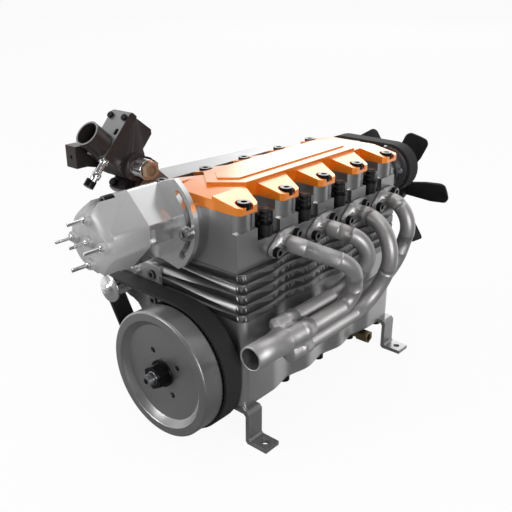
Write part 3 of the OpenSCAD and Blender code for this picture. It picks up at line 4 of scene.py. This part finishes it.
import bmesh
import bpy
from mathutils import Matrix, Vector

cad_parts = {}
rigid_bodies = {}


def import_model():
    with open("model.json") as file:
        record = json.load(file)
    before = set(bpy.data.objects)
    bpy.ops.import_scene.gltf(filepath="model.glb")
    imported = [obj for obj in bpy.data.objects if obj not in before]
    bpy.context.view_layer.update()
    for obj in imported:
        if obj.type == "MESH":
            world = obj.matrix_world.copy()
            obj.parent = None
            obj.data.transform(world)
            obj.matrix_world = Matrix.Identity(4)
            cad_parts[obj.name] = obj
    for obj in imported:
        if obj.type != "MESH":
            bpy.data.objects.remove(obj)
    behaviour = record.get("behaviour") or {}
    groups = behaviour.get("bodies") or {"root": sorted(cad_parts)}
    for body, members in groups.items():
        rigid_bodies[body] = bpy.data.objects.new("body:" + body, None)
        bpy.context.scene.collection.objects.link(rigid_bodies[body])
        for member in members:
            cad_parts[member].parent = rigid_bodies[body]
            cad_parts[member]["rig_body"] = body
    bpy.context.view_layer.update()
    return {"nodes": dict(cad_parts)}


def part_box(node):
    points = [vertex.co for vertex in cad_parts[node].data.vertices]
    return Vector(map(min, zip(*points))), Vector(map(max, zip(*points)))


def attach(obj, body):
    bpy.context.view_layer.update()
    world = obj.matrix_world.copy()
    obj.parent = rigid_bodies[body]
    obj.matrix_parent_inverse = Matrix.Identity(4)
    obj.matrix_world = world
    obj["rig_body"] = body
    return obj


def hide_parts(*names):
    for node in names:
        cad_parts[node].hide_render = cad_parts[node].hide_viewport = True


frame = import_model()
mm = 0.001
white = (1, 1, 1, 1)

# Camera: the photograph looks down on the flywheel end from the exhaust side. Its place was solved
# from the cover screws, the feet and the round parts.
eye = Vector((162.2, -202.4, 157.3)) * mm
look = Vector((-0.606, 0.699, -0.379))
camera_data = bpy.data.cameras.new("camera")
camera_data.lens = 48.66
camera_data.clip_start = 0.01
camera = bpy.data.objects.new("camera", camera_data)
camera.location = eye
camera.rotation_euler = look.to_track_quat("-Z", "Y").to_euler()
bpy.context.scene.collection.objects.link(camera)
bpy.context.scene.camera = camera
bpy.context.scene.view_settings.view_transform = "Standard"

# Studio: a pale floor and room that the camera sees as white, while the floor still takes a faint
# shadow. Reflections pass through the floor and see a white card, fixed in the room behind the
# engine as it is photographed, with a dim grey room round it that gives the metal its dark parts.
floor_half, floor_colour, floor_glow = 20, (0.9, 0.9, 0.9, 1), 0.93
room_light, room_dim = 0.42, 0.16
card_edge_forward, card_edge_down = (0.02, 0.36), (-0.6, -0.43)
floor_mesh = bpy.data.meshes.new("floor")
bm = bmesh.new()
bmesh.ops.create_grid(bm, x_segments=1, y_segments=1, size=floor_half)
bm.to_mesh(floor_mesh)
bm.free()
floor = bpy.data.objects.new("floor", floor_mesh)
bpy.context.scene.collection.objects.link(floor)


def either(tree, values):
    """The largest of several node outputs."""
    total = values[0]
    for value in values[1:]:
        most = tree.nodes.new("ShaderNodeMath")
        most.operation = "MAXIMUM"
        tree.links.new(total, most.inputs[0])
        tree.links.new(value, most.inputs[1])
        total = most.outputs[0]
    return total


floor_paint = bpy.data.materials.new("white_floor")
floor_paint.use_nodes = True
tree = floor_paint.node_tree
tree.nodes.clear()
rays = tree.nodes.new("ShaderNodeLightPath")
card = tree.nodes.new("ShaderNodeBsdfDiffuse")
card.inputs["Color"].default_value = floor_colour
glow = tree.nodes.new("ShaderNodeEmission")
glow.inputs["Color"].default_value = white
share = tree.nodes.new("ShaderNodeMath")
share.operation = "MULTIPLY"
share.inputs[1].default_value = floor_glow
clear = tree.nodes.new("ShaderNodeBsdfTransparent")
blend = tree.nodes.new("ShaderNodeMixShader")
reflected = tree.nodes.new("ShaderNodeMixShader")
out = tree.nodes.new("ShaderNodeOutputMaterial")
tree.links.new(rays.outputs["Is Camera Ray"], share.inputs[0])
tree.links.new(share.outputs[0], blend.inputs["Fac"])
tree.links.new(card.outputs[0], blend.inputs[1])
tree.links.new(glow.outputs[0], blend.inputs[2])
mirrored = either(tree, [rays.outputs["Is Glossy Ray"], rays.outputs["Is Transmission Ray"]])
tree.links.new(mirrored, reflected.inputs["Fac"])
tree.links.new(blend.outputs[0], reflected.inputs[1])
tree.links.new(clear.outputs[0], reflected.inputs[2])
tree.links.new(reflected.outputs[0], out.inputs["Surface"])
floor_mesh.materials.append(floor_paint)

world = bpy.data.worlds.new("studio")
bpy.context.scene.world = world
world.use_nodes = True
tree = world.node_tree
tree.nodes.clear()
rays = tree.nodes.new("ShaderNodeLightPath")
way = tree.nodes.new("ShaderNodeTexCoord")
backdrop = tree.nodes.new("ShaderNodeBackground")
backdrop.inputs["Color"].default_value = white
room = tree.nodes.new("ShaderNodeBackground")
room.inputs["Color"].default_value = white
room.inputs["Strength"].default_value = room_light
blend = tree.nodes.new("ShaderNodeMixShader")
out = tree.nodes.new("ShaderNodeOutputWorld")
fades = []
for axis, (low, high) in (((look.x, look.y, 0), card_edge_forward), ((0, 0, 1), card_edge_down)):
    along = tree.nodes.new("ShaderNodeVectorMath")
    along.operation = "DOT_PRODUCT"
    along.inputs[1].default_value = Vector(axis).normalized()
    fade = tree.nodes.new("ShaderNodeMapRange")
    fade.interpolation_type = "SMOOTHSTEP"
    fade.inputs["From Min"].default_value = low
    fade.inputs["From Max"].default_value = high
    tree.links.new(way.outputs["Generated"], along.inputs[0])
    tree.links.new(along.outputs["Value"], fade.inputs["Value"])
    fades.append(fade.outputs[0])
card_shape = tree.nodes.new("ShaderNodeMath")
card_shape.operation = "MULTIPLY"
tree.links.new(fades[0], card_shape.inputs[0])
tree.links.new(fades[1], card_shape.inputs[1])
dim = tree.nodes.new("ShaderNodeMapRange")
dim.inputs["To Min"].default_value = room_dim
tree.links.new(card_shape.outputs[0], dim.inputs["Value"])
shown = either(tree, [dim.outputs[0], rays.outputs["Is Camera Ray"]])
tree.links.new(shown, backdrop.inputs["Strength"])
kinds = ("Is Camera Ray", "Is Glossy Ray", "Is Transmission Ray")
tree.links.new(either(tree, [rays.outputs[kind] for kind in kinds]), blend.inputs["Fac"])
tree.links.new(room.outputs[0], blend.inputs[1])
tree.links.new(backdrop.outputs[0], blend.inputs[2])
tree.links.new(blend.outputs[0], out.inputs["Surface"])

# Soft boxes: a wide one low behind the engine that lights every upward face, one overhead and two
# narrow ones at the sides whose long shapes show as streaks in the metal.
aim = Vector((0, 0, 0.06))
for name, place, size, power in (
        ("rear_box", (-1.0, 1.66, 1.15), (0.96, 1.4), 8),
        ("top_box", (0.1, -0.1, 1.1), (0.8, 0.6), 2.5),
        ("left_box", (-0.6, -1.05, 0.4), (0.3, 0.7), 6),
        ("right_box", (1.05, -0.5, 0.35), (0.3, 0.6), 6.5)):
    lamp = bpy.data.lights.new(name, "AREA")
    lamp.shape = "RECTANGLE"
    lamp.size, lamp.size_y = size
    lamp.energy = power
    box = bpy.data.objects.new(name, lamp)
    box.location = place
    box.rotation_euler = (aim - Vector(place)).to_track_quat("-Z", "Y").to_euler()
    bpy.context.scene.collection.objects.link(box)

# Crankcase and sump: one grey alloy casting, blasted to a fine even grain, closed below by a
# screwed plate. Their edges are broken by a small bevel.


def grain_group():
    """Fine blasted grain: a clouded colour, a roughness and a height from two noises."""
    tree = bpy.data.node_groups.new("blasted_grain", "ShaderNodeTree")
    face = tree.interface
    face.new_socket("Color", in_out="INPUT", socket_type="NodeSocketColor")
    for label, value in (("Scale", 900.0), ("Mottle", 0.1), ("Rough", 0.4), ("Rough Spread", 0.1)):
        socket = face.new_socket(label, in_out="INPUT", socket_type="NodeSocketFloat")
        socket.default_value = value
    face.new_socket("Color", in_out="OUTPUT", socket_type="NodeSocketColor")
    face.new_socket("Roughness", in_out="OUTPUT", socket_type="NodeSocketFloat")
    face.new_socket("Height", in_out="OUTPUT", socket_type="NodeSocketFloat")
    put, join = tree.nodes.new, tree.links.new
    given, made = put("NodeGroupInput"), put("NodeGroupOutput")
    where = put("ShaderNodeTexCoord")
    fine, cloud = put("ShaderNodeTexNoise"), put("ShaderNodeTexNoise")
    fine.inputs["Detail"].default_value = 3
    cloud.inputs["Scale"].default_value = 45
    join(where.outputs["Object"], fine.inputs["Vector"])
    join(where.outputs["Object"], cloud.inputs["Vector"])
    join(given.outputs["Scale"], fine.inputs["Scale"])
    shade = put("ShaderNodeMapRange")
    shade.inputs["From Min"].default_value = 0.3
    shade.inputs["From Max"].default_value = 0.7
    low, high = put("ShaderNodeMath"), put("ShaderNodeMath")
    low.operation, high.operation = "SUBTRACT", "ADD"
    low.inputs[0].default_value = high.inputs[0].default_value = 1
    join(given.outputs["Mottle"], low.inputs[1])
    join(given.outputs["Mottle"], high.inputs[1])
    join(cloud.outputs["Fac"], shade.inputs["Value"])
    join(low.outputs[0], shade.inputs["To Min"])
    join(high.outputs[0], shade.inputs["To Max"])
    tone = put("ShaderNodeVectorMath")
    tone.operation = "SCALE"
    join(given.outputs["Color"], tone.inputs[0])
    join(shade.outputs[0], tone.inputs["Scale"])
    join(tone.outputs[0], made.inputs["Color"])
    spread = put("ShaderNodeMath")
    spread.operation = "MULTIPLY_ADD"
    centred = put("ShaderNodeMath")
    centred.operation = "SUBTRACT"
    centred.inputs[1].default_value = 0.5
    join(fine.outputs["Fac"], centred.inputs[0])
    join(centred.outputs[0], spread.inputs[0])
    join(given.outputs["Rough Spread"], spread.inputs[1])
    join(given.outputs["Rough"], spread.inputs[2])
    join(spread.outputs[0], made.inputs["Roughness"])
    join(fine.outputs["Fac"], made.inputs["Height"])
    return tree


blasted_grain = grain_group()


def finish_of(name, colour, metal, rough, spread=0.1, scale=900.0, mottle=0.08, relief=0.01,
              coat=0.0):
    """A material with the blasted grain at its own colour, scale and depth."""
    paint = bpy.data.materials.new(name)
    paint.use_nodes = True
    tree = paint.node_tree
    shader = tree.nodes["Principled BSDF"]
    shader.inputs["Metallic"].default_value = metal
    shader.inputs["Coat Weight"].default_value = coat
    shader.inputs["Coat Roughness"].default_value = 0.2
    grain = tree.nodes.new("ShaderNodeGroup")
    grain.node_tree = blasted_grain
    grain.inputs["Color"].default_value = (*colour, 1)
    grain.inputs["Scale"].default_value = scale
    grain.inputs["Mottle"].default_value = mottle
    grain.inputs["Rough"].default_value = rough
    grain.inputs["Rough Spread"].default_value = spread
    bump = tree.nodes.new("ShaderNodeBump")
    bump.inputs["Strength"].default_value = 0.35
    bump.inputs["Distance"].default_value = relief * mm
    tree.links.new(grain.outputs["Color"], shader.inputs["Base Color"])
    tree.links.new(grain.outputs["Roughness"], shader.inputs["Roughness"])
    tree.links.new(grain.outputs["Height"], bump.inputs["Height"])
    tree.links.new(bump.outputs["Normal"], shader.inputs["Normal"])
    return paint


def stand_for(node, bm, paint, angle=32, crisp=True):
    """Turn a finished bmesh into the piece that stands for a node and rides on its body."""
    for face in bm.faces:
        face.smooth = True
    mesh = bpy.data.meshes.new(node + "_piece")
    bm.to_mesh(mesh)
    bm.free()
    mesh.set_sharp_from_angle(angle=math.radians(angle))
    mesh.materials.append(paint)
    piece = bpy.data.objects.new(mesh.name, mesh)
    bpy.context.scene.collection.objects.link(piece)
    if crisp:
        flats = piece.modifiers.new("true_flats", "WEIGHTED_NORMAL")
        flats.keep_sharp = True
    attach(piece, frame["nodes"][node]["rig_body"])
    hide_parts(node)
    return piece


weld_reach, flat_angle = 0.004, math.radians(0.6)


def dress(node, paint, edge=0.18, angle=32, segments=2, crisp=True):
    """A copy of a node with merged faces and bevelled edges, which then stands for the node."""
    bm = bmesh.new()
    bm.from_mesh(frame["nodes"][node].data)
    bmesh.ops.remove_doubles(bm, verts=bm.verts, dist=weld_reach * mm)
    if edge:
        bmesh.ops.dissolve_limit(bm, angle_limit=flat_angle, verts=bm.verts, edges=bm.edges)
        sharp = [edge_line for edge_line in bm.edges if len(edge_line.link_faces) == 2
                 and edge_line.calc_face_angle(0) > math.radians(angle)]
        bmesh.ops.bevel(bm, geom=sharp, offset=edge * mm, offset_type="OFFSET", affect="EDGES",
                        segments=segments, profile=0.5, material=-1, clamp_overlap=True)
    return stand_for(node, bm, paint, angle, crisp)


def keep(node, paint):
    """A node whose own shape is right stays, with a better finish in its material slot."""
    frame["nodes"][node].material_slots[0].material = paint


case_grey = finish_of("case_grey", (0.5, 0.501, 0.504), 0.95, 0.33, 0.06, relief=0.005)
dress("crankcase", case_grey, 0.25)
dress("sump_plate", case_grey, 0.15)

# Sump screws and drain: ten black socket screws close the sump, and a plain brass fitting under its
# rear exhaust corner lets the oil out. The screws that show their heads carry a painted highlight on
# top.
black_oxide = finish_of("black_oxide", (0.012, 0.012, 0.013), 0.75, 0.3)
rim_highlight_paint = finish_of("painted_highlight_rim", (0.26, 0.26, 0.262), 0.9, 0.36, scale=1500)
rim_depth, rim_facing = 0.16, 0.5


def rimmed(node, axis, edge=0.14, paint=black_oxide, rim=rim_highlight_paint):
    """Dressed screws whose outermost faces along the axis carry a painted highlight."""
    piece = dress(node, paint, edge)
    piece.data.materials.append(rim)
    way = Vector(axis)
    reach = max(corner.co.dot(way) for corner in piece.data.vertices)
    # Faces at the top of each head take the lighter metal as a painted highlight.
    for face in piece.data.polygons:
        if face.normal.dot(way) > rim_facing and face.center.dot(way) > reach - rim_depth * mm:
            face.material_index = 1
    return piece


dress("sump_screws", black_oxide, 0.12)
brass = finish_of("plain_brass", (0.24, 0.19, 0.1), 1.0, 0.28)
dress("drain_plug", brass, 0.12)

# Feet: four straps of grey satin steel, each bent into a tab, a leg and a sole with a bolt hole.
# The corner screws of the sump hold them.
strap_steel = finish_of("strap_steel", (0.36, 0.361, 0.364), 0.9, 0.34)
dress("feet", strap_steel, 0.2)

# Cylinder block: dark alloy with four cooling grooves round it, and pale liners pressed in below
# a thin fibre gasket.
block_grey = finish_of("block_grey", (0.25, 0.251, 0.253), 0.95, 0.34, 0.05, relief=0.002)
dress("cylinder_block", block_grey, 0)
steel = finish_of("turned_steel", (0.42, 0.43, 0.45), 1.0, 0.3)
keep("cylinder_liners", steel)
gasket = finish_of("fibre_gasket", (0.05, 0.047, 0.043), 0.0, 0.8)
keep("head_gasket", gasket)

# Head: the same blasted alloy, with round screw columns, a deep well at each plug and pads for the
# pipes, closed at the rear by the camshaft caps.
head_grey = finish_of("head_grey", (0.38, 0.381, 0.384), 0.95, 0.33, 0.06, relief=0.005)
head = dress("cylinder_head", head_grey, 0.15)
well_painted_shade = finish_of("well_painted_shade", (0.02, 0.02, 0.0205), 0.6, 0.4)
head.data.materials.append(well_painted_shade)
cylinder_pitch = 22
cylinder_y = [cylinder_pitch * (i - 1.5) for i in range(4)]
well_x, well_r, well_floor = 22.2, 5.9, 74.2
# Faces inside each plug well, above its floor, are painted near black as painted shade.
for face in head.data.polygons:
    across = min(math.hypot(face.center.x / mm - well_x, face.center.y / mm - y) for y in cylinder_y)
    if across < well_r and face.center.z / mm > well_floor:
        face.material_index = 1
dress("cam_end_caps", head_grey, 0.15)

# Glow plugs: a plug screwed into the head at the bottom of each well, under a black rubber boot
# with a wide foot and a ribbed sleeve.
boot_rubber = finish_of("boot_rubber", (0.006, 0.006, 0.0065), 0.0, 0.42, scale=1600)
dress("spark_plugs", boot_rubber, 0)

# Valve cover: machined from alloy and anodised orange. The cutter leaves fine lines along the
# sides, and the upper faces carry a bright satin sheen.


def cut_lines_group():
    """Fine cutter lines in steps of height, broken up by a noise."""
    tree = bpy.data.node_groups.new("cutter_lines", "ShaderNodeTree")
    face = tree.interface
    face.new_socket("Spacing", in_out="INPUT", socket_type="NodeSocketFloat").default_value = 3000.0
    face.new_socket("Height", in_out="OUTPUT", socket_type="NodeSocketFloat")
    put, join = tree.nodes.new, tree.links.new
    given, made = put("NodeGroupInput"), put("NodeGroupOutput")
    where = put("ShaderNodeTexCoord")
    apart, pack = put("ShaderNodeSeparateXYZ"), put("ShaderNodeCombineXYZ")
    lines = put("ShaderNodeTexNoise")
    lines.inputs["Scale"].default_value = 1
    lines.inputs["Detail"].default_value = 2
    stretch = put("ShaderNodeMath")
    stretch.operation = "MULTIPLY"
    along = put("ShaderNodeMath")
    along.operation = "MULTIPLY"
    along.inputs[1].default_value = 40
    join(where.outputs["Object"], apart.inputs[0])
    join(apart.outputs["Z"], stretch.inputs[0])
    join(given.outputs["Spacing"], stretch.inputs[1])
    join(apart.outputs["Y"], along.inputs[0])
    join(along.outputs[0], pack.inputs["Y"])
    join(stretch.outputs[0], pack.inputs["Z"])
    join(pack.outputs[0], lines.inputs["Vector"])
    join(lines.outputs["Fac"], made.inputs["Height"])
    return tree


orange = finish_of("orange_anodised", (0.9, 0.25, 0.008), 0.55, 0.34, scale=1400, mottle=0.05, coat=1.0)
tree = orange.node_tree
shader = tree.nodes["Principled BSDF"]
shader.inputs["Coat Roughness"].default_value = 0.18
shader.inputs["Coat IOR"].default_value = 1.7
cutter = tree.nodes.new("ShaderNodeGroup")
cutter.node_tree = cut_lines_group()
ridge = tree.nodes.new("ShaderNodeBump")
ridge.inputs["Strength"].default_value = 0.5
ridge.inputs["Distance"].default_value = 0.03 * mm
tree.links.new(cutter.outputs["Height"], ridge.inputs["Height"])
tree.links.new(tree.nodes["Bump"].outputs["Normal"], ridge.inputs["Normal"])
tree.links.new(ridge.outputs["Normal"], shader.inputs["Normal"])
dress("valve_cover", orange, 0.22, 30)

# Cover screws: ten M2.5 socket heads in black oxide, with a painted highlight round the top. They sit
# in the bosses of the cover and hold it on the head.
rimmed("cover_screws", (0, 0, 1))

# Crankshaft: turned and ground steel in five bronze bearings in the bay walls. The seal ring in
# front is part of the first bearing.
bronze = finish_of("bearing_bronze", (0.42, 0.3, 0.14), 1.0, 0.3)
keep("main_bearings", bronze)
dress("crankshaft", steel, 0.1)

# Pistons, camshafts and sprockets: turned steel parts inside the castings and behind them. The
# sprockets are toothed, and a plain roller on a post turns the timing belt inwards.
keep("outer_pistons", steel)
keep("inner_pistons", steel)
keep("intake_camshaft", steel)
keep("exhaust_camshaft", steel)
for node in ("crank_sprocket", "intake_sprocket", "exhaust_sprocket", "belt_idler"):
    dress(node, steel, 0.1)

# Timing belt: a black rubber loop round the crankshaft sprocket, the roller and both camshaft
# sprockets. It is modelled without teeth, with a fine grain on its surface.
rubber = finish_of("belt_rubber", (0.011, 0.0112, 0.0115), 0.0, 0.7, scale=2200, relief=0.03)
dress("timing_belt", rubber, 0.15)

# Exhaust: four bent pipes from rhombic flanges with round ears into a welded collector, blasted to
# a dull pale grey. Two black screws hold each flange, and the inside of the outlet is coloured dark.
blasted_steel = finish_of("blasted_exhaust", (0.48, 0.472, 0.47), 0.85, 0.46, 0.12, 1200, 0.1, 0.012)
dress("exhaust_pipes", blasted_steel, 0, 35, crisp=False)
collector = dress("exhaust_collector", blasted_steel, 0, 50, crisp=False)
outlet_dark = finish_of("outlet_inside_dark", (0.03, 0.029, 0.028), 0.2, 0.6)
collector.data.materials.append(outlet_dark)
outlet_y, outlet_inner_r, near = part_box("exhaust_collector")[0][1] / mm, 3.7, 0.05
lip = [v.co / mm for v in collector.data.vertices if v.co.y / mm < outlet_y + near]
lip_x, lip_z = sum(v.x for v in lip) / len(lip), sum(v.z for v in lip) / len(lip)
# Faces inside the outlet, past its lip, take the dark colour.
for face in collector.data.polygons:
    across = math.hypot(face.center.x / mm - lip_x, face.center.z / mm - lip_z)
    if across < outlet_inner_r + near and face.center.y / mm > outlet_y + 2 * near:
        face.material_index = 1
keep("exhaust_gaskets", gasket)
rimmed("exhaust_screws", (1, 0, 0))

# Intake plenum: a tapered box of light satin alloy that feeds the four ports. Its short runners end
# in flanges, each screwed to the head.
plenum_silver = finish_of("plenum_silver", (0.46, 0.46, 0.465), 0.85, 0.36)
dress("intake_plenum", plenum_silver, 0.3)
rimmed("plenum_screws", (-1, 0, 0))

# Carburettor: black anodised body behind a grey front plate with its air horn. The throttle barrel
# crosses it, with the lever on one side and the chromed needle holder on the other.
black_body = finish_of("black_anodised", (0.055, 0.044, 0.044), 0.6, 0.3)
plate_grey = finish_of("grey_anodised", (0.3, 0.301, 0.305), 0.8, 0.36)
chrome = finish_of("chromed", (0.9, 0.9, 0.905), 1.0, 0.12, 0.04, relief=0.002)
hex_tan = finish_of("hex_tan", (0.36, 0.26, 0.18), 0.8, 0.5)
dress("carburettor_body", black_body, 0.2)
front_plate = dress("carburettor_cover", black_body, 0.15)
front_plate.data.materials.append(plate_grey)
# Only the plate's forward faces take the grey; its side faces keep the black as painted shade.
tilt, plate_facing = math.radians(42.2), 0.97
for face in front_plate.data.polygons:
    if face.normal.dot(Vector((0, -math.cos(tilt), math.sin(tilt)))) > plate_facing:
        face.material_index = 1
dress("throttle_barrel", steel, 0.1)
dress("throttle_lever", black_body, 0.25)
dress("needle_holder", chrome, 0.25)
dress("needle_nut", hex_tan, 0.15)
dress("fuel_nipple", chrome, 0.1)
dress("idle_screw", black_oxide, 0.12)
dress("carburettor_screws", black_oxide, 0.1)

# Distributor: polished alloy housing with a slotted ear, and a moulded grey cap whose five plated
# pins take the leads. The clamp screw through the slot sets the timing.
polished = finish_of("polished_alloy", (0.86, 0.862, 0.865), 0.95, 0.24, 0.05, relief=0.002)
cap_grey = finish_of("cap_grey", (0.4, 0.4, 0.4), 0.3, 0.42, 0.08, 1500, 0.06)
dress("distributor_housing", polished, 0.15)
dress("distributor_cap", cap_grey, 0.5, 50, 3, crisp=False)
dress("cap_terminals", chrome, 0.14)
rimmed("cap_screws", (0, -1, 0))
rotor_brown = finish_of("rotor_brown", (0.2, 0.07, 0.03), 0.0, 0.5)
keep("rotor_arm", rotor_brown)
clamp_steel = finish_of("clamp_steel", (0.5, 0.5, 0.51), 1.0, 0.25)
dress("timing_clamp_screw", clamp_steel, 0.1)

# Flywheel: a heavy turned steel disc, dished round its nut, with four puller holes. The toothed
# ring of the starter sits behind it on the crankshaft.
turned_grey = finish_of("flywheel_grey", (0.38, 0.381, 0.384), 0.95, 0.34, 0.05, relief=0.002)
ring_black = finish_of("ring_black", (0.03, 0.031, 0.033), 0.8, 0.35)
dress("starter_ring", ring_black, 0)
dress("flywheel", turned_grey, 0.25)
dress("flywheel_nut", black_oxide, 0.2)

# Starter: a plated motor can on a plate of light alloy, screwed to the front of the engine. A small
# toothed pulley and a black rubber belt, modelled without teeth, turn the ring.
motor_can = finish_of("motor_can", (0.3, 0.31, 0.33), 1.0, 0.3)
dress("starter_motor", motor_can, 0.3)
dress("starter_pulley", polished, 0)
dress("starter_bracket", plenum_silver, 0.2)
rimmed("bracket_screws", (0, -1, 0))
dress("starter_belt", rubber, 0)

# Fan: moulded in black plastic, six pitched blades, driven by a flat belt from the crankshaft and
# carried by a bracket behind the head.
fan_black = finish_of("fan_black", (0.004, 0.004, 0.0042), 0.0, 0.5, scale=700)
dress("fan_bracket", head_grey, 0.15)
dress("fan_shaft", steel, 0.1)
dress("fan", fan_black, 0.12)
dress("fan_belt", rubber, 0.1)
dress("crank_fan_pulley", steel, 0.08)
